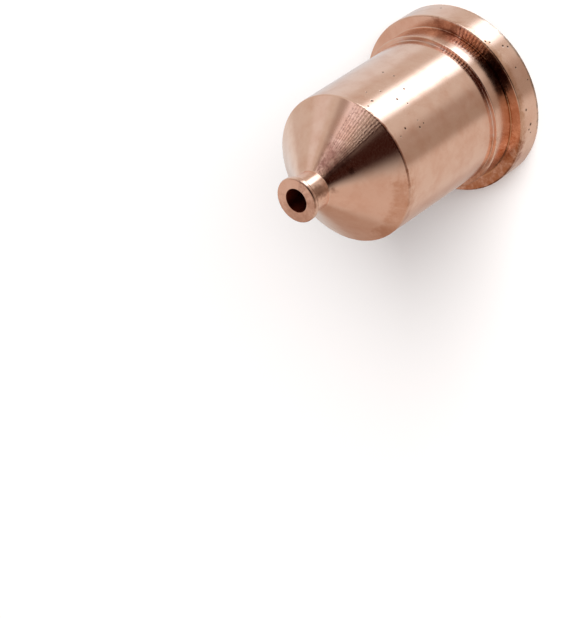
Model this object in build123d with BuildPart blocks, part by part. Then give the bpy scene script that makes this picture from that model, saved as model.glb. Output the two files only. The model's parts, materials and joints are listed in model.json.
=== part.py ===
from build123d import *
import os
from math import atan2, cos, sin, tan

# Copper nozzle of a plasma torch, turned from round bar as one piece.
# It stands on the back of its flange at height 0, with the orifice upwards on the +Z axis.
# All sizes are millimetres.

# Bore, from the back of the flange to the orifice
orifice_diameter = 2.05
chamber_diameter = 9.0
seat_shoulder = 1.2
seat_depth = 3.2
seat_lead_in = 0.4
chamber_corner_radius = 0.8
orifice_inlet_radius = 0.5
orifice_edge_break = 0.04

# Walls and radial steps that carry the bore out to the outer surfaces
neck_wall = 0.625
rim_overhang = 0.3
body_wall = 2.0
cone_wall = 1.8
ring_step = 0.4
flange_step = 1.1

# Lengths along the axis, from the back to the tip
flange_thickness = 2.5
ring_length = 2.0
body_length = 11.8
cone_length = 4.2
neck_length = 1.9
rim_height = 0.4

# Edge breaks and inside corners left by the turning tool
flange_back_chamfer = 0.05
flange_front_chamfer = 0.12
ring_chamfer = 0.08
shoulder_chamfer = 0.1
rim_chamfer = 0.1
flange_corner_radius = 0.08
ring_corner_radius = 0.05
neck_corner_radius = 0.12
rim_corner_radius = 0.1

# Radii of the outer surfaces
neck_radius = orifice_diameter / 2 + neck_wall
rim_radius = neck_radius + rim_overhang
body_radius = chamber_diameter / 2 + body_wall
ring_radius = body_radius + ring_step
flange_radius = ring_radius + flange_step

# Heights of the faces and edges across the axis
ring_base = flange_thickness
ring_top = ring_base + ring_length
shoulder_height = ring_top + body_length
neck_base = shoulder_height + cone_length
rim_base = neck_base + neck_length
tip_height = rim_base + rim_height

# The chamber's conical floor is parallel to the outer cone, a cone wall inside it
cone_angle = atan2(body_radius - neck_radius, cone_length)
orifice_radius = orifice_diameter / 2
chamber_radius = chamber_diameter / 2
seat_radius = chamber_radius + seat_shoulder
floor_base = shoulder_height - (cone_wall - body_wall * cos(cone_angle)) / sin(cone_angle)
floor_top = floor_base + (chamber_radius - orifice_radius) / tan(cone_angle)


def edge_at(part, radius, height):
    """The circular edge of the part at this radius and height."""
    circles = part.edges().filter_by(GeomType.CIRCLE)
    return circles.sort_by(lambda edge: abs(edge.radius - radius) + abs(edge.center().Z - height))[0]


with BuildPart() as nozzle:
    # Outside: flange, ring, body, cone, neck and the small rim round the tip
    with BuildSketch(Plane.XZ):
        with BuildLine():
            Polyline(
                (0, 0),
                (flange_radius, 0),
                (flange_radius, ring_base),
                (ring_radius, ring_base),
                (ring_radius, ring_top),
                (body_radius, ring_top),
                (body_radius, shoulder_height),
                (neck_radius, neck_base),
                (neck_radius, rim_base),
                (rim_radius, rim_base),
                (rim_radius, tip_height),
                (0, tip_height),
                close=True,
            )
        make_face()
    revolve(axis=Axis.Z)

    # Inside corners of the outside keep the tool's nose radius
    fillet(edge_at(nozzle, ring_radius, ring_base), flange_corner_radius)
    fillet(edge_at(nozzle, body_radius, ring_top), ring_corner_radius)
    fillet(edge_at(nozzle, neck_radius, neck_base), neck_corner_radius)
    fillet(edge_at(nozzle, neck_radius, rim_base), rim_corner_radius)

    # Outside edges are lightly broken
    chamfer(edge_at(nozzle, flange_radius, 0), flange_back_chamfer)
    chamfer(edge_at(nozzle, flange_radius, ring_base), flange_front_chamfer)
    chamfer(edge_at(nozzle, ring_radius, ring_top), ring_chamfer)
    chamfer(edge_at(nozzle, body_radius, shoulder_height), shoulder_chamfer)
    chamfer(edge_at(nozzle, rim_radius, tip_height), rim_chamfer)

    # Inside: rear seat, chamber, conical floor and orifice, bored in one line
    with BuildSketch(Plane.XZ):
        with BuildLine():
            Polyline(
                (0, 0),
                (seat_radius, 0),
                (seat_radius, seat_depth),
                (chamber_radius, seat_depth),
                (chamber_radius, floor_base),
                (orifice_radius, floor_top),
                (orifice_radius, tip_height),
                (0, tip_height),
                close=True,
            )
        make_face()
    revolve(axis=Axis.Z, mode=Mode.SUBTRACT)

    # The chamber's corner and the way into the orifice are rounded for the gas
    fillet(edge_at(nozzle, chamber_radius, floor_base), chamber_corner_radius)
    fillet(edge_at(nozzle, orifice_radius, floor_top), orifice_inlet_radius)

    # Lead-in at the back and a touch off the orifice's edge
    chamfer(edge_at(nozzle, seat_radius, 0), seat_lead_in)
    chamfer(edge_at(nozzle, orifice_radius, tip_height), orifice_edge_break)

nozzle.part.label = "nozzle"

os.makedirs("parts", exist_ok=True)
export_step(nozzle.part, "parts/nozzle.step")
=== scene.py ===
import json
import logging
from dataclasses import dataclass
from enum import Enum
from itertools import pairwise
from math import atan2, cos, hypot, pi, radians, sin, tan

import bmesh
import bpy
from mathutils import Euler, Matrix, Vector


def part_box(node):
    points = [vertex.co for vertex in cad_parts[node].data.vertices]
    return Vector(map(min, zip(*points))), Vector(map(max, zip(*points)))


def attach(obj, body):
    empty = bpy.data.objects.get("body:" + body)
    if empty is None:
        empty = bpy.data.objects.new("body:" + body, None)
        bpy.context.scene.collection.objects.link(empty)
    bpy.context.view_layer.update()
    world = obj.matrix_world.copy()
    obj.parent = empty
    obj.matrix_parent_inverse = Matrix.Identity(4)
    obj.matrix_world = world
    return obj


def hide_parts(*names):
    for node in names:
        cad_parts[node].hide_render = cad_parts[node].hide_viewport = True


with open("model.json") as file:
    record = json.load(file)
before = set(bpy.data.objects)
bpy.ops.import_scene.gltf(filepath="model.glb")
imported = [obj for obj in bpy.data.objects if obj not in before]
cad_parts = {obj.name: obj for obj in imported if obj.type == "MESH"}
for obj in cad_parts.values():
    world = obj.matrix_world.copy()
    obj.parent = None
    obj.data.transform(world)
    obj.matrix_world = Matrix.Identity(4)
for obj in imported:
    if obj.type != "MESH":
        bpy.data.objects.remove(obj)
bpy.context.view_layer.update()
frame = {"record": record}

log = logging.getLogger("plasma_torch_nozzle")

MM = 0.001


def linear_colour(hex_colour: str) -> tuple[float, float, float, float]:
    """Turns a screen colour into the linear one that a shader takes.

    Args:
        hex_colour: The sRGB colour, written as #RRGGBB.

    Returns:
        Linear red, green and blue, and an alpha of 1.
    """
    channels = [int(hex_colour[start:start + 2], 16) / 255 for start in (1, 3, 5)]
    linear = [c / 12.92 if c <= 0.04045 else ((c + 0.055) / 1.055) ** 2.4 for c in channels]
    return (*linear, 1.0)


def add_node(tree: bpy.types.NodeTree, kind: str, inputs: dict | None = None, output: int | str = 0,
             **settings: object) -> bpy.types.NodeSocket:
    """Adds a node to a shader tree with its settings, values and links.

    Args:
        tree: The tree that the node joins.
        kind: The node's type name.
        inputs: For each input, by name or number, a value or the output socket that feeds it.
        output: Name or number of the output that the caller goes on from.
        **settings: Properties of the node, such as operation.

    Returns:
        The chosen output socket, or None on a node that has none.
    """
    node = tree.nodes.new(kind)
    for name, value in settings.items():
        setattr(node, name, value)
    for name, value in (inputs or {}).items():
        if isinstance(value, bpy.types.NodeSocket):
            tree.links.new(value, node.inputs[name])
        else:
            node.inputs[name].default_value = value
    return node.outputs[output] if node.outputs else None


def turn_from(tree: bpy.types.NodeTree, angle: bpy.types.NodeSocket, centre: float
              ) -> bpy.types.NodeSocket:
    """Adds the nodes that give how far an angle lies from a centre, the shorter way round.

    Args:
        tree: The shader tree.
        angle: The angle, in radians.
        centre: The centre, in degrees.

    Returns:
        The turn between them, in radians.
    """
    turn = add_node(tree, "ShaderNodeMath", {0: angle, 1: radians(centre)}, operation="SUBTRACT")
    turn = add_node(tree, "ShaderNodeMath", {0: turn, 1: pi, 2: -pi}, operation="WRAP")
    return add_node(tree, "ShaderNodeMath", {0: turn}, operation="ABSOLUTE")


def deselect_all() -> None:
    """Leaves no object selected, so that the next operator acts on its own piece alone."""
    bpy.ops.object.select_all(action="DESELECT")


class Cut(Enum):
    """How the turning tool leaves a corner of the outline, with the number of facets that draws it."""

    SHARP = 0
    BREAK = 3
    NOSE_RADIUS = 6


@dataclass(frozen=True)
class Corner:
    """One corner of the nozzle's half section, in metres."""

    radius: float
    height: float
    cut: Cut = Cut.SHARP
    size: float = 0.0


@dataclass(frozen=True)
class Pore:
    """A pore in the bar that turning has opened, in degrees round the axis and in millimetres."""

    azimuth: float
    height: float
    diameter: float


@dataclass(frozen=True)
class StainAndPaintedLight:
    """A coloured stretch of the outside. Some are stains, and many are painted shade and painted light
    laid in the same way.

    Azimuth and spread are degrees round the axis. Radius and height name a place on the outline, and
    reach is how far from there the patch goes, in millimetres.
    """

    azimuth: float
    spread: float
    radius: float
    height: float
    reach: float
    strength: float
    colour: str


@dataclass(frozen=True)
class ToolPath:
    """Sockets that tell where a point lies on the turned walls, in radians and millimetres."""

    place: bpy.types.NodeSocket
    azimuth: bpy.types.NodeSocket
    radius: bpy.types.NodeSocket
    run: bpy.types.NodeSocket
    outline: bpy.types.NodeSocket


@dataclass(frozen=True)
class Foot:
    """An inside corner where the tool rang on the wall too, by its place on the outline and its reach.
    The marks beside it are darkened with painted shade and painted reflection.
    """

    radius: float
    height: float
    reach: float


@dataclass(frozen=True)
class TurnedCopper:
    """Bare copper, fine-turned on a lathe: satin bright and pinkish. Its lengths are millimetres.

    The tool's feed leaves fine lines round the axis, so a highlight spreads along the axis and stays
    narrow round it. On one side the tool rang, which left short marks across the feed lines and tore some
    of them, and dirt has stayed in both. Beside the inside corners the marks are darker still with
    painted shade and painted reflection, and the orifice is painted dark as shade.
    """

    name: str = "fine_turned_bare_copper"
    colour: str = "#F7C9B0"
    roughness: float = 0.16
    anisotropy: float = 0.8
    tarnish: str = "#DD9A78"
    tarnish_grain: float = 1.6
    tarnish_roughness: float = 0.08
    stain_and_light_grain: float = 0.7
    feed_pitch: float = 0.24
    feed_depth: float = 0.00035
    handling_grain: float = 0.8
    handling_stretch: float = 0.2
    handling_depth: float = 0.0022
    chatter_marks: int = 134
    chatter_slope: float = 0.048
    chatter_azimuth: float = 292.0
    chatter_spread: float = 15.0
    drift_per_mm: float = 3.0
    drift_turn: float = 1.5
    marks_per_dent: float = 4.0
    dents_per_mm: float = 2.5
    tears_per_radian: float = 18.0
    tears_per_mm: float = 3.5
    torn_depth: float = 0.013
    mark_dirt_and_shade_colour: str = "#6E3426"
    mark_dirt: float = 0.3
    # Beside the inside corners the marks take painted shade and painted reflection
    foot_painted_shade: float = 0.32
    torn_dirt: float = 0.34
    pore_colour: str = "#5E4436"
    pore_depth: float = 0.015
    # Painted shade in the orifice's bore and at its mouth
    orifice_shade_colour: str = "#7A2E1C"
    orifice_shade_reach: float = 0.04
    orifice_shade_full: float = 0.01
    pore_and_orifice_roughness: float = 0.3

    def material(self, pores: list[tuple[Pore, float]], stains_and_painted_light: tuple[StainAndPaintedLight, ...], feet: list[Foot],
                 orifice_radius: float) -> bpy.types.Material:
        """Builds the copper's shader.

        Args:
            pores: Each pore with the radius of the cylinder that it lies on.
            stains_and_painted_light: The stains, and the painted shade and painted light laid like them.
            feet: The inside corners where the tool rang on the wall as well as on the face, with painted
                shade in the marks beside them.
            orifice_radius: Radius within which the copper is painted dark as shade.

        Returns:
            The finished material.
        """
        material = bpy.data.materials.new(self.name)
        material.use_nodes = True
        tree = material.node_tree
        tree.nodes.clear()
        place = add_node(tree, "ShaderNodeTexCoord", output="Object")
        place = add_node(tree, "ShaderNodeVectorMath", {0: place, "Scale": 1 / MM}, operation="SCALE")
        path = self._tool_path(tree, place)
        chatter, dirt_and_shade = self._chatter(tree, path, feet)
        pore = self._pores(tree, place, pores)
        # Painted shade: the orifice's bore and its mouth are darkened, and made rougher
        orifice_shade = add_node(
            tree, "ShaderNodeMapRange",
            {0: path.radius, 1: orifice_radius + self.orifice_shade_reach, 2: orifice_radius + self.orifice_shade_full},
        )
        mottle = self._mottle(tree, place)
        colour = self._stained_and_painted(tree, path, mottle, stains_and_painted_light)
        # The marks' dark holds dirt and, beside the corners, painted shade; the orifice's dark is painted
        # shade
        for mask, dark in (
            (dirt_and_shade, self.mark_dirt_and_shade_colour), (pore, self.pore_colour), (orifice_shade, self.orifice_shade_colour),
        ):
            colour = add_node(
                tree, "ShaderNodeMix", {"Factor": mask, 6: colour, 7: linear_colour(dark)},
                output=2, data_type="RGBA",
            )
        worn = add_node(
            tree, "ShaderNodeMath", {0: mottle, 1: self.tarnish_roughness, 2: self.roughness},
            operation="MULTIPLY_ADD",
        )
        for mask in (pore, orifice_shade):
            worn = add_node(
                tree, "ShaderNodeMath", {0: mask, 1: self.pore_and_orifice_roughness, 2: worn},
                operation="MULTIPLY_ADD",
            )
        surface = add_node(
            tree, "ShaderNodeBsdfPrincipled",
            {
                "Base Color": colour, "Metallic": 1.0, "Roughness": worn,
                "Anisotropic": self.anisotropy, "Anisotropic Rotation": 0.25,
                "Tangent": self._around(tree, place), "Normal": self._relief(tree, path, chatter, pore),
            },
        )
        add_node(tree, "ShaderNodeOutputMaterial", {"Surface": surface})
        return material

    def _tool_path(self, tree: bpy.types.NodeTree, place: bpy.types.NodeSocket) -> ToolPath:
        """Works out where a point lies on the walls that the tool has turned.

        Args:
            tree: The shader tree.
            place: The point, in millimetres.

        Returns:
            Its azimuth, its radius, the tool's run along the outline and its place on the outline.
        """
        split = add_node(tree, "ShaderNodeSeparateXYZ", {0: place}).node
        azimuth = add_node(
            tree, "ShaderNodeMath", {0: split.outputs["Y"], 1: split.outputs["X"]}, operation="ARCTAN2"
        )
        flat = add_node(
            tree, "ShaderNodeVectorMath", {0: place, 1: (1.0, 1.0, 0.0)}, operation="MULTIPLY"
        )
        radius = add_node(tree, "ShaderNodeVectorMath", {0: flat}, output="Value", operation="LENGTH")
        run = add_node(tree, "ShaderNodeMath", {0: split.outputs["Z"], 1: radius}, operation="SUBTRACT")
        outline = add_node(tree, "ShaderNodeCombineXYZ", {"X": radius, "Z": split.outputs["Z"]})
        return ToolPath(place, azimuth, radius, run, outline)

    def _around(self, tree: bpy.types.NodeTree, place: bpy.types.NodeSocket) -> bpy.types.NodeSocket:
        """Finds the direction in which the feed lines run.

        Args:
            tree: The shader tree.
            place: The point, in millimetres.

        Returns:
            The direction round the axis, in the world.
        """
        around = add_node(
            tree, "ShaderNodeVectorMath", {0: (0.0, 0.0, 1.0), 1: place}, operation="CROSS_PRODUCT"
        )
        around = add_node(tree, "ShaderNodeVectorMath", {0: around}, operation="NORMALIZE")
        return add_node(
            tree, "ShaderNodeVectorTransform", {0: around},
            vector_type="VECTOR", convert_from="OBJECT", convert_to="WORLD",
        )

    def _relief(self, tree: bpy.types.NodeTree, path: ToolPath, chatter: bpy.types.NodeSocket,
                pore: bpy.types.NodeSocket) -> bpy.types.NodeSocket:
        """Puts feed lines, chatter, handling marks and pores into the surface.

        Args:
            tree: The shader tree.
            path: Where a point lies on the turned walls.
            chatter: Height of the chatter marks.
            pore: 1 in a pore and 0 on the sound metal.

        Returns:
            The normal with all of them in it.
        """
        height = add_node(
            tree, "ShaderNodeMath", {0: self._feed_lines(tree, path.run), 1: chatter}, operation="ADD"
        )
        height = add_node(
            tree, "ShaderNodeMath", {0: height, 1: self._handling(tree, path.place)}, operation="ADD"
        )
        height = add_node(
            tree, "ShaderNodeMath", {0: pore, 1: -self.pore_depth, 2: height}, operation="MULTIPLY_ADD"
        )
        return add_node(tree, "ShaderNodeBump", {"Strength": 1.0, "Distance": MM, "Height": height})

    def _feed_lines(self, tree: bpy.types.NodeTree, run: bpy.types.NodeSocket) -> bpy.types.NodeSocket:
        """Draws the feed lines, coarser than the real pitch of under 0.1 mm so that they show.

        Args:
            tree: The shader tree.
            run: The tool's run along the outline.

        Returns:
            Their height in millimetres.
        """
        lines = add_node(
            tree, "ShaderNodeTexNoise",
            {"W": run, "Scale": 1 / self.feed_pitch, "Detail": 2.0, "Roughness": 0.6},
            noise_dimensions="1D",
        )
        return add_node(tree, "ShaderNodeMath", {0: lines, 1: self.feed_depth}, operation="MULTIPLY")

    def _handling(self, tree: bpy.types.NodeTree, place: bpy.types.NodeSocket) -> bpy.types.NodeSocket:
        """Draws the shallow marks of polishing and handling, long along the axis.

        Args:
            tree: The shader tree.
            place: The point, in millimetres.

        Returns:
            Their height in millimetres.
        """
        drawn = add_node(
            tree, "ShaderNodeVectorMath", {0: place, 1: (1.0, 1.0, self.handling_stretch)},
            operation="MULTIPLY",
        )
        marks = add_node(
            tree, "ShaderNodeTexNoise",
            {"Vector": drawn, "Scale": 1 / self.handling_grain, "Detail": 3.0, "Roughness": 0.6},
        )
        return add_node(
            tree, "ShaderNodeMath", {0: marks, 1: self.handling_depth}, operation="MULTIPLY"
        )

    def _chatter(self, tree: bpy.types.NodeTree, path: ToolPath, feet: list[Foot]
                 ) -> tuple[bpy.types.NodeSocket, bpy.types.NodeSocket]:
        """Draws the marks that the ringing tool left, with the same slope at every radius.

        Args:
            tree: The shader tree.
            path: Where a point lies on the turned walls.
            feet: The inside corners where the tool rang on the wall as well as on the face, with painted
                shade in the marks beside them.

        Returns:
            The marks' height in millimetres and the share of dark in them: dirt, and painted shade beside
            the corners.
        """
        drift = add_node(
            tree, "ShaderNodeTexNoise", {"W": path.run, "Scale": self.drift_per_mm, "Detail": 1.0},
            noise_dimensions="1D",
        )
        drift = add_node(tree, "ShaderNodeMath", {0: drift, 1: self.drift_turn}, operation="MULTIPLY")
        phase = add_node(
            tree, "ShaderNodeMath", {0: path.azimuth, 1: float(self.chatter_marks), 2: drift},
            operation="MULTIPLY_ADD",
        )
        wave = add_node(tree, "ShaderNodeMath", {0: phase}, operation="SINE")
        amplitude = add_node(
            tree, "ShaderNodeMath", {0: path.radius, 1: self.chatter_slope / self.chatter_marks},
            operation="MULTIPLY",
        )
        foot = self._feet(tree, path, feet)
        rung = self._rung(tree, path, foot)
        torn = self._torn(tree, path)
        height = add_node(tree, "ShaderNodeMath", {0: wave, 1: amplitude}, operation="MULTIPLY")
        height = add_node(
            tree, "ShaderNodeMath", {0: torn, 1: self.torn_depth, 2: height}, operation="MULTIPLY_ADD"
        )
        height = add_node(tree, "ShaderNodeMath", {0: height, 1: rung}, operation="MULTIPLY")
        # Dirt lies in the hollows of the marks and along torn lines; beside the corners the marks are
        # darker with painted shade and painted reflection
        hollow = add_node(tree, "ShaderNodeMapRange", {0: wave, 1: 0.2, 2: -0.9})
        darkening = add_node(
            tree, "ShaderNodeMath", {0: foot, 1: self.foot_painted_shade, 2: self.mark_dirt},
            operation="MULTIPLY_ADD",
        )
        dirt_and_shade = add_node(tree, "ShaderNodeMath", {0: hollow, 1: darkening}, operation="MULTIPLY")
        torn = add_node(
            tree, "ShaderNodeMapRange", {0: torn, 1: 0.45, 2: 0.7, 3: 0.0, 4: self.torn_dirt}
        )
        dirt_and_shade = add_node(tree, "ShaderNodeMath", {0: dirt_and_shade, 1: torn}, operation="ADD")
        dirt_and_shade = add_node(tree, "ShaderNodeMath", {0: dirt_and_shade, 1: rung}, operation="MULTIPLY")
        return height, dirt_and_shade

    def _rung(self, tree: bpy.types.NodeTree, path: ToolPath, foot: bpy.types.NodeSocket
              ) -> bpy.types.NodeSocket:
        """Finds how hard the tool rang at a point.

        Args:
            tree: The shader tree.
            path: Where a point lies on the turned walls.
            foot: 1 beside an inside corner where the tool rang on the wall too.

        Returns:
            0 where it cut clean, and about 1 where it rang.
        """
        zone = add_node(
            tree, "ShaderNodeMapRange",
            {
                0: turn_from(tree, path.azimuth, self.chatter_azimuth),
                1: radians(self.chatter_spread), 2: radians(self.chatter_spread * 0.7),
            },
            interpolation_type="SMOOTHSTEP",
        )
        # It rang on the faces and the cone, which look forward, and on the walls beside their feet
        facing = add_node(tree, "ShaderNodeTexCoord", output="Normal")
        facing = add_node(tree, "ShaderNodeSeparateXYZ", {0: facing}, output="Z")
        facing = add_node(
            tree, "ShaderNodeMapRange", {0: facing, 1: 0.2, 2: 0.6}, interpolation_type="SMOOTHSTEP"
        )
        rung = add_node(tree, "ShaderNodeMath", {0: facing, 1: foot}, operation="MAXIMUM")
        rung = add_node(tree, "ShaderNodeMath", {0: rung, 1: zone}, operation="MULTIPLY")
        # Each mark is a row of short dents, as the tool skips a turn here and there
        dents = (self.chatter_marks / self.marks_per_dent, self.dents_per_mm, 1.0)
        weave = add_node(tree, "ShaderNodeCombineXYZ", {"X": path.azimuth, "Y": path.run})
        weave = add_node(tree, "ShaderNodeVectorMath", {0: weave, 1: dents}, operation="MULTIPLY")
        weave = add_node(tree, "ShaderNodeTexNoise", {"Vector": weave, "Scale": 1.0, "Detail": 2.0})
        weave = add_node(tree, "ShaderNodeMapRange", {0: weave, 1: 0.35, 2: 0.6, 3: 0.6, 4: 1.15})
        return add_node(tree, "ShaderNodeMath", {0: rung, 1: weave}, operation="MULTIPLY")

    def _torn(self, tree: bpy.types.NodeTree, path: ToolPath) -> bpy.types.NodeSocket:
        """Draws the short torn feed lines between the chatter marks, coarser than real so that they show.

        Args:
            tree: The shader tree.
            path: Where a point lies on the turned walls.

        Returns:
            The pattern, from 0 to 1.
        """
        tears = (self.tears_per_radian, self.tears_per_mm, 1.0)
        lines = add_node(tree, "ShaderNodeCombineXYZ", {"X": path.azimuth, "Y": path.run})
        lines = add_node(tree, "ShaderNodeVectorMath", {0: lines, 1: tears}, operation="MULTIPLY")
        return add_node(
            tree, "ShaderNodeTexNoise", {"Vector": lines, "Scale": 1.0, "Detail": 2.0, "Roughness": 0.6}
        )

    def _feet(self, tree: bpy.types.NodeTree, path: ToolPath, feet: list[Foot]) -> bpy.types.NodeSocket:
        """Finds the strips beside the inside corners where the tool rang and the marks take painted
        shade.

        Args:
            tree: The shader tree.
            path: Where a point lies on the turned walls.
            feet: The corners.

        Returns:
            1 beside a corner and 0 away from all of them.
        """
        mask = None
        for foot in feet:
            away = add_node(
                tree, "ShaderNodeVectorMath", {0: path.outline, 1: (foot.radius, 0.0, foot.height)},
                output="Value", operation="DISTANCE",
            )
            near = add_node(
                tree, "ShaderNodeMapRange", {0: away, 1: foot.reach, 2: foot.reach * 0.7},
                interpolation_type="SMOOTHSTEP",
            )
            mask = near if mask is None else add_node(
                tree, "ShaderNodeMath", {0: mask, 1: near}, operation="MAXIMUM"
            )
        return mask

    def _mottle(self, tree: bpy.types.NodeTree, place: bpy.types.NodeSocket) -> bpy.types.NodeSocket:
        """Draws the thin tarnish that bare copper takes in air.

        Args:
            tree: The shader tree.
            place: The point, in millimetres.

        Returns:
            The share of tarnish.
        """
        clouds = add_node(
            tree, "ShaderNodeTexNoise",
            {"Vector": place, "Scale": 1 / self.tarnish_grain, "Detail": 4.0, "Roughness": 0.6},
        )
        return add_node(tree, "ShaderNodeMapRange", {0: clouds, 1: 0.42, 2: 0.75, 3: 0.0, 4: 0.4})

    def _stained_and_painted(self, tree: bpy.types.NodeTree, path: ToolPath, mottle: bpy.types.NodeSocket,
                 stains_and_painted_light: tuple[StainAndPaintedLight, ...]) -> bpy.types.NodeSocket:
        """Lays the tarnish, the stains, and the painted shade and painted light over the bright copper.

        Args:
            tree: The shader tree.
            path: Where a point lies on the turned walls.
            mottle: The share of tarnish.
            stains_and_painted_light: The stains and the painted patches, the lowest first.

        Returns:
            The colour.
        """
        colour = add_node(
            tree, "ShaderNodeMix",
            {"Factor": mottle, 6: linear_colour(self.colour), 7: linear_colour(self.tarnish)},
            output=2, data_type="RGBA",
        )
        patches = add_node(
            tree, "ShaderNodeTexNoise",
            {"Vector": path.place, "Scale": 1 / self.stain_and_light_grain, "Detail": 4.0, "Roughness": 0.7},
        )
        ragged = add_node(
            tree, "ShaderNodeMath", {0: patches, 1: -1.0, 2: 0.5}, operation="MULTIPLY_ADD"
        )
        patches = add_node(tree, "ShaderNodeMapRange", {0: patches, 1: 0.34, 2: 0.6, 3: 0.5})
        # Many of these patches are painted shade and painted light, laid like stains
        for stain_and_light in stains_and_painted_light:
            cover = self._stain_and_light_patch(tree, stain_and_light, path, ragged)
            cover = add_node(tree, "ShaderNodeMath", {0: cover, 1: patches}, operation="MULTIPLY")
            colour = add_node(
                tree, "ShaderNodeMix", {"Factor": cover, 6: colour, 7: linear_colour(stain_and_light.colour)},
                output=2, data_type="RGBA",
            )
        return colour

    def _stain_and_light_patch(self, tree: bpy.types.NodeTree, stain_and_light: StainAndPaintedLight, path: ToolPath,
               ragged: bpy.types.NodeSocket) -> bpy.types.NodeSocket:
        """Draws one coloured patch with a ragged edge.

        Args:
            tree: The shader tree.
            stain_and_light: The patch.
            path: Where a point lies on the turned walls.
            ragged: How far the edge strays in or out, as a share of the reach.

        Returns:
            How much of the stain lies at the point.
        """
        away = add_node(
            tree, "ShaderNodeVectorMath", {0: path.outline, 1: (stain_and_light.radius, 0.0, stain_and_light.height)},
            output="Value", operation="DISTANCE",
        )
        away = add_node(
            tree, "ShaderNodeMath", {0: away, 1: 1 / stain_and_light.reach, 2: ragged}, operation="MULTIPLY_ADD"
        )
        near = add_node(
            tree, "ShaderNodeMapRange", {0: away, 1: 1.0, 2: 0.4}, interpolation_type="SMOOTHSTEP"
        )
        turn = add_node(
            tree, "ShaderNodeMath",
            {0: turn_from(tree, path.azimuth, stain_and_light.azimuth), 1: 1 / radians(stain_and_light.spread), 2: ragged},
            operation="MULTIPLY_ADD",
        )
        along = add_node(
            tree, "ShaderNodeMapRange", {0: turn, 1: 1.0, 2: 0.5, 4: stain_and_light.strength},
            interpolation_type="SMOOTHSTEP",
        )
        return add_node(tree, "ShaderNodeMath", {0: near, 1: along}, operation="MULTIPLY")

    def _pores(self, tree: bpy.types.NodeTree, place: bpy.types.NodeSocket,
               pores: list[tuple[Pore, float]]) -> bpy.types.NodeSocket:
        """Draws the open pores.

        Args:
            tree: The shader tree.
            place: The point, in millimetres.
            pores: Each pore with the radius of the cylinder that it lies on.

        Returns:
            1 in a pore and 0 on the sound metal.
        """
        mask = None
        for pore, cylinder in pores:
            turn = radians(pore.azimuth)
            away = add_node(
                tree, "ShaderNodeVectorMath",
                {0: place, 1: (cylinder * cos(turn), cylinder * sin(turn), pore.height)},
                output="Value", operation="DISTANCE",
            )
            spot = add_node(
                tree, "ShaderNodeMapRange", {0: away, 1: pore.diameter * 0.7, 2: pore.diameter * 0.1},
                interpolation_type="SMOOTHSTEP",
            )
            mask = spot if mask is None else add_node(
                tree, "ShaderNodeMath", {0: mask, 1: spot}, operation="MAXIMUM"
            )
        return mask


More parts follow.
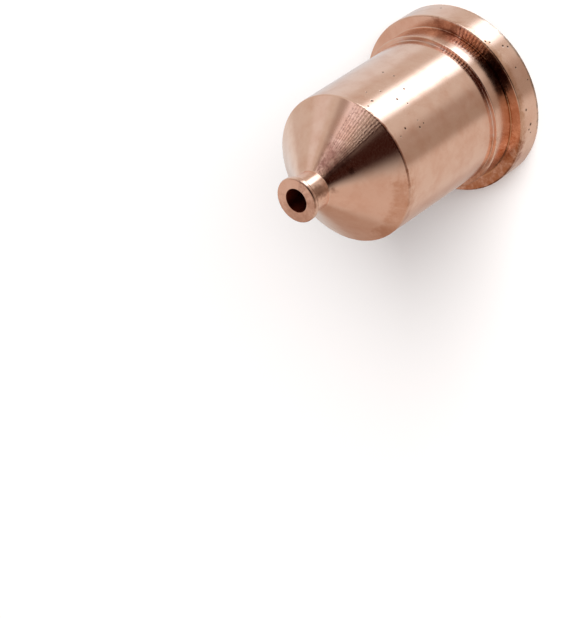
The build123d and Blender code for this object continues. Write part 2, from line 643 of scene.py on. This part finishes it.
@dataclass
class Nozzle:
    """The nozzle, turned and bored in one piece.

    All sizes are metres, and heights are from the flange's back. A break is the bevel on an outer edge,
    and a nose is the radius that the tool leaves in a corner.
    """

    flange_radius: float
    ring_radius: float
    seat_radius: float
    chamber_radius: float
    orifice_radius: float
    flange_front: float
    tip_height: float
    ring_length: float = 2.0 * MM
    body_length: float = 11.8 * MM
    cone_length: float = 4.2 * MM
    neck_length: float = 1.9 * MM
    ring_step: float = 0.4 * MM
    neck_wall: float = 0.625 * MM
    rim_overhang: float = 0.3 * MM
    cone_wall: float = 1.8 * MM
    seat_depth: float = 3.2 * MM
    flange_back_break: float = 0.05 * MM
    flange_front_break: float = 0.12 * MM
    ring_break: float = 0.08 * MM
    shoulder_break: float = 0.1 * MM
    rim_break: float = 0.1 * MM
    orifice_break: float = 0.04 * MM
    seat_lead_in: float = 0.4 * MM
    flange_nose: float = 0.08 * MM
    ring_nose: float = 0.05 * MM
    neck_nose: float = 0.12 * MM
    rim_nose: float = 0.1 * MM
    chamber_nose: float = 0.8 * MM
    inlet_nose: float = 0.5 * MM
    flange_foot_reach: float = 1.1 * MM
    ring_foot_reach: float = 0.28 * MM
    hold: float = 0.02 * MM
    merge: float = 0.001 * MM
    smooth_angle: float = 35.0
    facets: int = 288
    copper: TurnedCopper = TurnedCopper()
    body_pores: tuple[Pore, ...] = (
        Pore(308, 14.4, 0.14), Pore(299, 15.0, 0.24), Pore(297, 15.8, 0.16), Pore(302, 13.4, 0.16),
        Pore(316, 10.9, 0.18), Pore(307, 10.8, 0.18), Pore(289, 13.0, 0.24), Pore(293, 11.5, 0.18),
        Pore(282, 12.5, 0.14), Pore(268, 14.5, 0.22), Pore(263, 13.0, 0.20), Pore(265, 15.4, 0.12),
        Pore(264, 12.4, 0.14), Pore(268, 12.8, 0.10),
    )
    flange_pores: tuple[Pore, ...] = (
        Pore(277, 1.0, 0.24), Pore(275, 0.6, 0.22), Pore(262, 1.2, 0.18), Pore(236, 1.7, 0.24),
        Pore(225, 1.2, 0.30), Pore(222, 1.4, 0.20), Pore(219, 1.1, 0.16), Pore(285, 2.2, 0.20),
        Pore(283, 1.9, 0.16), Pore(326, 0.8, 0.16), Pore(252, 0.5, 0.16),
    )
    stains_and_painted_light: tuple[StainAndPaintedLight, ...] = (
        # Painted shade on the flange's front face, the ring and the step: darker and oranger, as they
        # look mirroring the shaded bench and the dark round them
        StainAndPaintedLight(240, 76, 7.62, 2.5, 0.95, 0.9, "#CD9876"),
        StainAndPaintedLight(178, 46, 7.55, 2.5, 1.1, 1.0, "#AE663E"),
        StainAndPaintedLight(176, 26, 6.9, 3.4, 1.6, 0.5, "#C08462"),
        StainAndPaintedLight(176, 26, 6.7, 4.5, 0.4, 0.8, "#AE6E4C"),
        StainAndPaintedLight(314, 12, 7.2, 2.5, 0.85, 0.6, "#9C5C40"),
        StainAndPaintedLight(308, 7, 6.9, 3.5, 1.2, 0.45, "#A87A64"),
        # Painted shade in the corners of the flange face, the ring and the step, where they mirror the
        # dark, with painted shade over the fillet's highlight and paler painted light along the body's
        # foot
        StainAndPaintedLight(266, 18, 7.1, 2.7, 1.0, 0.8, "#5A3024"),
        StainAndPaintedLight(235, 90, 6.93, 2.53, 0.18, 1.6, "#C68A64"),
        StainAndPaintedLight(263, 20, 6.93, 2.53, 0.15, 1.4, "#3A1C12"),
        StainAndPaintedLight(294, 16, 6.95, 2.55, 0.15, 0.5, "#7A3020"),
        StainAndPaintedLight(197, 14, 6.93, 2.53, 0.09, 0.9, "#6E3A26"),
        StainAndPaintedLight(312, 10, 6.97, 2.5, 0.3, 0.7, "#7A3A24"),
        StainAndPaintedLight(208, 20, 6.6, 4.5, 0.38, 0.9, "#CFA68E"),
        StainAndPaintedLight(236, 16, 6.55, 4.53, 0.32, 0.9, "#EFD2C4"),
        StainAndPaintedLight(324, 30, 6.55, 4.53, 0.32, 0.9, "#EFD2C4"),
        # Darker lines along the flange's front and back edges, and painted shade on the shoulder's edge
        # break, where it mirrors the dark
        StainAndPaintedLight(188, 36, 7.95, 2.46, 0.12, 0.65, "#7A4A35"),
        StainAndPaintedLight(262, 54, 8.0, 0.03, 0.3, 0.7, "#8A7E70"),
        StainAndPaintedLight(254, 44, 6.47, 16.25, 0.15, 0.85, "#8A4624"),
        # Painted shade on the cone beside the shoulder, where it mirrors the bench in the nozzle's shade,
        # and a spatter mark
        StainAndPaintedLight(203, 42, 6.25, 16.5, 1.3, 0.5, "#CA865E"),
        StainAndPaintedLight(260, 7, 3.3, 19.0, 0.3, 0.6, "#6A3424"),
        # Painted shade on the cone's front end, the neck, the rim and the tip face, where they mirror the
        # dark
        StainAndPaintedLight(291, 24, 2.85, 19.45, 1.75, 0.8, "#9C6456"),
        StainAndPaintedLight(252, 24, 1.65, 21.4, 1.6, 0.75, "#8A5A44"),
        StainAndPaintedLight(262, 60, 1.93, 22.77, 0.13, 0.85, "#6A341E"),
        StainAndPaintedLight(258, 60, 1.95, 22.40, 0.09, 0.7, "#7A4028"),
        StainAndPaintedLight(165, 130, 1.5, 22.8, 0.8, 0.75, "#BE8A70"),
    )

    @classmethod
    def from_frame(cls, record: dict) -> "Nozzle":
        """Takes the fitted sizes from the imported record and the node's box.

        Args:
            record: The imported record.

        Returns:
            The nozzle with those sizes.
        """
        mounts = {mount["name"]: mount for mount in record["mounts"]}
        lowest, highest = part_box("nozzle")
        return cls(
            flange_radius=(highest[0] - lowest[0]) / 2,
            ring_radius=mounts["ring_outside"]["dims"]["r_mm"] * MM,
            seat_radius=mounts["seat_bore"]["dims"]["r_mm"] * MM,
            chamber_radius=mounts["chamber_bore"]["dims"]["r_mm"] * MM,
            orifice_radius=mounts["orifice"]["dims"]["r_mm"] * MM,
            flange_front=mounts["cap_seat"]["pos_m"][2],
            tip_height=highest[2],
        )

    def corners(self) -> list[Corner]:
        """Works out the corners of the half section.

        Returns:
            The corners in turn, up the outside and down the bore.
        """
        body_radius = self.ring_radius - self.ring_step
        neck_radius = self.orifice_radius + self.neck_wall
        rim_radius = neck_radius + self.rim_overhang
        ring_front = self.flange_front + self.ring_length
        shoulder = ring_front + self.body_length
        neck_base = shoulder + self.cone_length
        rim_base = neck_base + self.neck_length
        half_angle = atan2(body_radius - neck_radius, self.cone_length)
        body_wall = body_radius - self.chamber_radius
        floor_base = shoulder - (self.cone_wall - body_wall * cos(half_angle)) / sin(half_angle)
        floor_top = floor_base + (self.chamber_radius - self.orifice_radius) / tan(half_angle)
        # A round that isn't at a square corner starts its radius times the tangent of half the turn away
        neck_setback = self.neck_nose * tan(half_angle / 2)
        chamber_setback = self.chamber_nose * tan(half_angle / 2)
        inlet_setback = self.inlet_nose * tan(half_angle / 2)
        return [
            Corner(self.flange_radius, 0.0, Cut.BREAK, self.flange_back_break),
            Corner(self.flange_radius, self.flange_front, Cut.BREAK, self.flange_front_break),
            Corner(self.ring_radius, self.flange_front, Cut.NOSE_RADIUS, self.flange_nose),
            Corner(self.ring_radius, ring_front, Cut.BREAK, self.ring_break),
            Corner(body_radius, ring_front, Cut.NOSE_RADIUS, self.ring_nose),
            Corner(body_radius, shoulder, Cut.BREAK, self.shoulder_break),
            Corner(neck_radius, neck_base, Cut.NOSE_RADIUS, neck_setback),
            Corner(neck_radius, rim_base, Cut.NOSE_RADIUS, self.rim_nose),
            Corner(rim_radius, rim_base),
            Corner(rim_radius, self.tip_height, Cut.BREAK, self.rim_break),
            Corner(self.orifice_radius, self.tip_height, Cut.BREAK, self.orifice_break),
            Corner(self.orifice_radius, floor_top, Cut.NOSE_RADIUS, inlet_setback),
            Corner(self.chamber_radius, floor_base, Cut.NOSE_RADIUS, chamber_setback),
            Corner(self.chamber_radius, self.seat_depth),
            Corner(self.seat_radius, self.seat_depth),
            Corner(self.seat_radius, 0.0, Cut.BREAK, self.seat_lead_in),
        ]

    def build(self) -> bpy.types.Object:
        """Turns the half section ring by ring, cuts its corners and dresses it.

        Returns:
            The finished nozzle, which stands for the node of the same name.
        """
        corners = self.corners()
        rings = self._held(corners)
        deselect_all()
        bpy.ops.mesh.primitive_circle_add(
            vertices=self.facets, radius=rings[0].radius, fill_type="NOTHING",
            location=(0, 0, rings[0].height),
        )
        nozzle = bpy.context.object
        nozzle.name = nozzle.data.name = "turned_nozzle"
        bpy.ops.object.mode_set(mode="EDIT")
        bpy.ops.mesh.select_mode(type="EDGE")
        bpy.ops.mesh.select_all(action="SELECT")
        for here, there in pairwise([*rings, rings[0]]):
            bpy.ops.mesh.extrude_edges_move(
                TRANSFORM_OT_translate={"value": (0, 0, there.height - here.height)}
            )
            grow = there.radius / here.radius
            bpy.ops.transform.resize(value=(grow, grow, 1), center_override=(0, 0, there.height))
        bpy.ops.mesh.select_all(action="SELECT")
        bpy.ops.mesh.remove_doubles(threshold=self.merge)
        bpy.ops.mesh.normals_make_consistent(inside=False)
        for corner in corners:
            if corner.cut is not Cut.SHARP:
                self._cut(nozzle, corner)
        bpy.ops.object.mode_set(mode="OBJECT")
        bpy.ops.object.shade_smooth_by_angle(angle=radians(self.smooth_angle))
        self._dress(nozzle)
        return nozzle

    def _held(self, corners: list[Corner]) -> list[Corner]:
        """Adds a ring close to each cut corner on both its walls, so that their shading stays straight.

        Args:
            corners: The corners of the half section in turn.

        Returns:
            The corners and the holding rings in turn, starting at the first corner.
        """
        rings = []
        for here, there in pairwise([*corners, corners[0]]):
            rings.append(here)
            run = hypot(there.radius - here.radius, there.height - here.height)
            stops = []
            if here.cut is not Cut.SHARP:
                stops.append((here.size + self.hold) / run)
            if there.cut is not Cut.SHARP:
                stops.append(1 - (there.size + self.hold) / run)
            for part in stops:
                rings.append(Corner(
                    here.radius + (there.radius - here.radius) * part,
                    here.height + (there.height - here.height) * part,
                ))
        return rings

    def _cut(self, nozzle: bpy.types.Object, corner: Corner) -> None:
        """Breaks or rounds one corner of the outline, all the way round.

        Args:
            nozzle: The nozzle, in edit mode.
            corner: The corner.
        """
        shape = bmesh.from_edit_mesh(nozzle.data)
        bpy.ops.mesh.select_all(action="DESELECT")
        for edge in shape.edges:
            edge.select_set(all(
                hypot(hypot(vertex.co.x, vertex.co.y) - corner.radius, vertex.co.z - corner.height)
                < self.hold / 2
                for vertex in edge.verts
            ))
        bmesh.update_edit_mesh(nozzle.data)
        bpy.ops.mesh.bevel(
            offset=corner.size, offset_type="OFFSET", segments=corner.cut.value, profile=0.5,
            affect="EDGES",
        )

    def _dress(self, nozzle: bpy.types.Object) -> None:
        """Gives the nozzle its copper and its place in the frame.

        Args:
            nozzle: The finished shape.
        """
        body_radius = self.ring_radius - self.ring_step
        pores = [(pore, body_radius / MM) for pore in self.body_pores]
        pores += [(pore, self.flange_radius / MM) for pore in self.flange_pores]
        feet = [
            Foot(radius / MM, height / MM, reach / MM)
            for radius, height, reach in (
                (self.ring_radius, self.flange_front, self.flange_foot_reach),
                (body_radius, self.flange_front + self.ring_length, self.ring_foot_reach),
            )
        ]
        copper = self.copper.material(pores, self.stains_and_painted_light, feet, self.orifice_radius / MM)
        nozzle.data.materials.clear()
        nozzle.data.materials.append(copper)
        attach(nozzle, "root")
        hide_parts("nozzle")


@dataclass(frozen=True)
class Card:
    """A card or softbox round the nozzle, as its polished walls mirror it. All angles are degrees."""

    azimuth: float
    elevation: float
    half_width: float
    half_height: float
    soft_width: float
    soft_height: float
    colour: str
    strength: float = 1.0


@dataclass(frozen=True)
class Studio:
    """The room: a white bench, an even sky with cards in it, one soft lamp and the camera.

    Seen from the camera, the cylinders mirror the cards below the horizon, and the cone, the faces and
    the corners those above it. All angles are degrees.
    """

    ambient_colour: str = "#A8A09F"
    sky_colour: str = "#D1D3D2"
    backdrop_colour: str = "#FFFFFF"
    cards: tuple[Card, ...] = (
        Card(175, -45, 38, 25, 22, 20, "#D6D4D1"),
        Card(122, -52, 12, 14, 14, 12, "#C4BBB6"),
        Card(178, 32, 25, 12, 30, 16, "#CDC2BB"),
        Card(122, -10, 12, 18, 20, 18, "#B2A196"),
        Card(112, 47, 14, 14, 12, 14, "#9C8F88"),
        Card(88, 46, 15, 10, 20, 14, "#D3CBC8"),
        Card(152, 50, 11, 9, 10, 10, "#F6F4F2"),
        Card(40, -45, 33, 20, 8, 14, "#E0EAF1"),
        Card(36, 58, 12, 12, 14, 12, "#9A8A80"),
        Card(70, -20, 9, 10, 9, 8, "#E5EDF0"),
        Card(19, 23, 5, 6, 9, 9, "#E0E7EE"),
        Card(336, 43, 10, 14, 5, 12, "#EBEDFA", 1.15),
        Card(353, 41, 3, 14, 6, 10, "#A9A19E"),
        Card(242, -45, 12, 25, 22, 20, "#ABA39D"),
        Card(232, -45, 6, 25, 10, 20, "#A69D95"),
        Card(313.5, -44, 6.5, 24, 17, 14, "#D4ECFF", 3.2),
        Card(264.5, 55, 16, 50, 43, 20, "#321914"),
    )
    lamp_azimuth: float = 286.0
    lamp_elevation: float = 28.0
    lamp_angle: float = 56.0
    lamp_strength: float = 6.4
    bench_size: float = 1.6
    bench_gap: float = 0.01 * MM
    bench_colour: str = "#E6E5E4"
    bench_glow: float = 0.05
    camera_place: tuple[float, float, float] = (-6.58 * MM, -176.03 * MM, 186.17 * MM)
    camera_tilt: float = 48.5
    camera_roll: float = -124.84
    camera_lens: float = 174.76
    camera_sensor: float = 36.0
    camera_reach: tuple[float, float] = (0.01, 10.0)

    def build(self, footprint: float) -> list[bpy.types.Object]:
        """Sets up bench, sky, lamp and camera.

        Args:
            footprint: Radius of the nozzle where it stands on the bench, in metres.

        Returns:
            The bench, the lamp and the camera.
        """
        bpy.context.scene.view_settings.view_transform = "Standard"
        self._sky()
        return [self._bench(footprint), self._lamp(), self._camera()]

    def _bench(self, footprint: float) -> bpy.types.Object:
        """Lays the matt white bench that the nozzle stands on and casts its shadow on.

        Args:
            footprint: Radius of the nozzle where it stands on the bench, in metres.

        Returns:
            The bench.
        """
        deselect_all()
        bpy.ops.mesh.primitive_plane_add(size=self.bench_size, location=(0, 0, -self.bench_gap))
        bench = bpy.context.object
        bench.name = "bench"
        bench.data.materials.append(self._white_board(footprint))
        return bench

    def _white_board(self, footprint: float) -> bpy.types.Material:
        """Makes the bench's matt white board, which takes a soft shadow and shows no mirror image.

        Args:
            footprint: Radius of the nozzle where it stands on the bench, in metres.

        Returns:
            The board's material.
        """
        material = bpy.data.materials.new("matt_white_bench")
        material.use_nodes = True
        tree = material.node_tree
        tree.nodes.clear()
        matt = add_node(
            tree, "ShaderNodeBsdfDiffuse", {"Color": linear_colour(self.bench_colour)}, output="BSDF"
        )
        rays = add_node(tree, "ShaderNodeLightPath").node.outputs
        glow = add_node(
            tree, "ShaderNodeMath", {0: rays["Is Camera Ray"], 1: self.bench_glow}, operation="MULTIPLY"
        )
        glow = add_node(tree, "ShaderNodeEmission", {"Strength": glow})
        lit = add_node(tree, "ShaderNodeAddShader", {0: matt, 1: glow})
        # Outside the nozzle's footprint a mirrored ray passes on to the pale sky below the bench
        place = add_node(tree, "ShaderNodeTexCoord", output="Object")
        away = add_node(tree, "ShaderNodeVectorMath", {0: place}, output="Value", operation="LENGTH")
        outside = add_node(tree, "ShaderNodeMath", {0: away, 1: footprint}, operation="GREATER_THAN")
        passes = add_node(
            tree, "ShaderNodeMath", {0: outside, 1: rays["Is Glossy Ray"]}, operation="MULTIPLY"
        )
        through = add_node(tree, "ShaderNodeBsdfTransparent")
        surface = add_node(tree, "ShaderNodeMixShader", {0: passes, 1: lit, 2: through})
        add_node(tree, "ShaderNodeOutputMaterial", {"Surface": surface})
        return material

    def _sky(self) -> None:
        """Fills the world: a white backdrop, an even light, and the cards that the copper mirrors."""
        world = bpy.data.worlds.new("soft_studio")
        bpy.context.scene.world = world
        world.use_nodes = True
        world.cycles.sampling_method = "NONE"
        tree = world.node_tree
        tree.nodes.clear()
        towards = add_node(tree, "ShaderNodeTexCoord", output="Generated")
        split = add_node(tree, "ShaderNodeSeparateXYZ", {0: towards}).node
        azimuth = add_node(
            tree, "ShaderNodeMath", {0: split.outputs["Y"], 1: split.outputs["X"]}, operation="ARCTAN2"
        )
        elevation = add_node(tree, "ShaderNodeMath", {0: split.outputs["Z"]}, operation="ARCSINE")
        mirrored = linear_colour(self.sky_colour)
        for card in self.cards:
            mirrored = self._card(tree, card, azimuth, elevation, mirrored)
        rays = add_node(tree, "ShaderNodeLightPath").node.outputs
        colour = linear_colour(self.ambient_colour)
        for ray, seen in (
            ("Is Glossy Ray", mirrored),
            ("Is Camera Ray", linear_colour(self.backdrop_colour)),
        ):
            colour = add_node(
                tree, "ShaderNodeMix", {"Factor": rays[ray], 6: colour, 7: seen},
                output=2, data_type="RGBA",
            )
        sky = add_node(tree, "ShaderNodeBackground", {"Color": colour})
        add_node(tree, "ShaderNodeOutputWorld", {"Surface": sky})

    def _card(self, tree: bpy.types.NodeTree, card: Card, azimuth: bpy.types.NodeSocket,
              elevation: bpy.types.NodeSocket, below: bpy.types.NodeSocket | tuple
              ) -> bpy.types.NodeSocket:
        """Lays one card over the sky so far, with soft edges.

        Args:
            tree: The world's shader tree.
            card: The card.
            azimuth: Azimuth of the ray, in radians.
            elevation: Elevation of the ray, in radians.
            below: Colour of the sky so far.

        Returns:
            The sky's colour with the card.
        """
        cover = None
        for angle, centre, half, soft in (
            (azimuth, card.azimuth, card.half_width, card.soft_width),
            (elevation, card.elevation, card.half_height, card.soft_height),
        ):
            inside = add_node(
                tree, "ShaderNodeMapRange",
                {0: turn_from(tree, angle, centre), 1: radians(half + soft), 2: radians(half)},
                interpolation_type="SMOOTHSTEP",
            )
            cover = inside if cover is None else add_node(
                tree, "ShaderNodeMath", {0: cover, 1: inside}, operation="MULTIPLY"
            )
        colour = (*(card.strength * channel for channel in linear_colour(card.colour)[:3]), 1.0)
        return add_node(
            tree, "ShaderNodeMix", {"Factor": cover, 6: below, 7: colour}, output=2, data_type="RGBA"
        )

    def _lamp(self) -> bpy.types.Object:
        """Hangs the wide, soft and far lamp that throws the shadow.

        Returns:
            The lamp.
        """
        deselect_all()
        bpy.ops.object.light_add(type="SUN")
        lamp = bpy.context.object
        lamp.name = "soft_lamp"
        lamp.rotation_euler = (radians(90 - self.lamp_elevation), 0, radians(90 + self.lamp_azimuth))
        lamp.data.angle = radians(self.lamp_angle)
        lamp.data.energy = self.lamp_strength
        lamp.visible_glossy = False
        return lamp

    def _camera(self) -> bpy.types.Object:
        """Places the camera at the photographed angle, rolled so that the tip points down to the left.

        Returns:
            The camera.
        """
        deselect_all()
        bpy.ops.object.camera_add(location=self.camera_place)
        camera = bpy.context.object
        tilt = Euler((radians(self.camera_tilt), 0, 0)).to_matrix()
        roll = Matrix.Rotation(radians(self.camera_roll), 3, "Z")
        camera.rotation_euler = (tilt @ roll).to_euler()
        camera.data.sensor_width = self.camera_sensor
        camera.data.lens = self.camera_lens
        camera.data.clip_start, camera.data.clip_end = self.camera_reach
        bpy.context.scene.camera = camera
        return camera


def main() -> None:
    """Builds the nozzle and its studio."""
    logging.basicConfig(level=logging.INFO, format="%(name)s: %(message)s")
    nozzle = Nozzle.from_frame(frame["record"])
    for piece in (nozzle.build(), *Studio().build(footprint=nozzle.flange_radius)):
        faces = len(piece.data.polygons) if piece.type == "MESH" else 0
        log.info("%s: %s, %d faces", piece.name, piece.type.lower(), faces)


if __name__ == "__main__":
    main()
